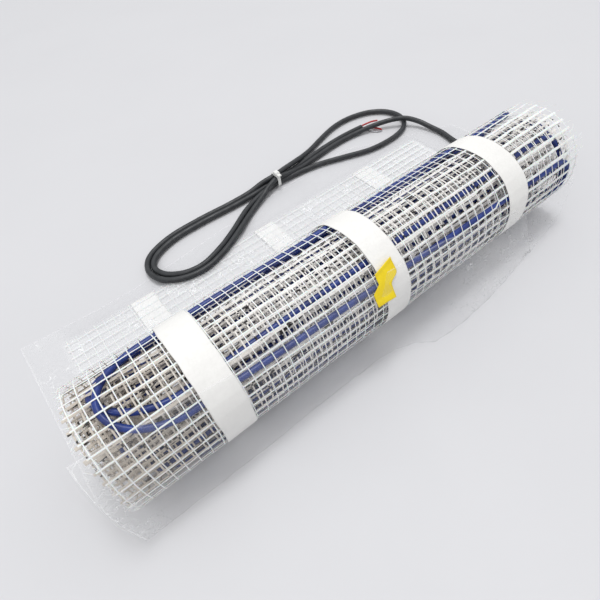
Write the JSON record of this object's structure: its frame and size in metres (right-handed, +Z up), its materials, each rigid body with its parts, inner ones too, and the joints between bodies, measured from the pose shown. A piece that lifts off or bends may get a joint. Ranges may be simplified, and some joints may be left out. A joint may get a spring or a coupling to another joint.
{
  "type": "underfloor heating mat",
  "caption": "Rolled glass-fibre mesh mat with a blue heating cable laid in runs, white tape strips, a black cold lead in a tied bundle and a clear film underneath.",
  "frame": {"origin": "on the floor under the middle of the roll, on the film's underside", "axes": "+X along the roll's axis, +Y towards the mat's free end and the cold lead, +Z up"},
  "size_m": [0.61, 0.356, 0.1091],
  "materials": {
    "mesh": "coated glass-fibre threads",
    "heating_cable": "satin",
    "tape": "matt",
    "sleeve": "satin",
    "lead": "satin",
    "tie": "satin",
    "conductor": "gloss",
    "screen_wire": "stranded",
    "tag": "satin",
    "film": "clear"
  },
  "bodies": {
    "root": {"mat_roll": "mesh", "mat_tail": "mesh", "heating_cable": "heating_cable", "tape_left": "tape", "tape_middle": "tape", "tape_right": "tape", "splice_sleeve": "sleeve", "cold_lead": "lead", "lead_hank_right": "lead", "lead_hank_left": "lead", "cable_tie": "tie", "conductor_a": "conductor", "conductor_b": "conductor", "screen_wire": "screen_wire", "cable_tag": "tag", "film_sheet": "film", "film_front": "film"}
  },
  "joints": []
}
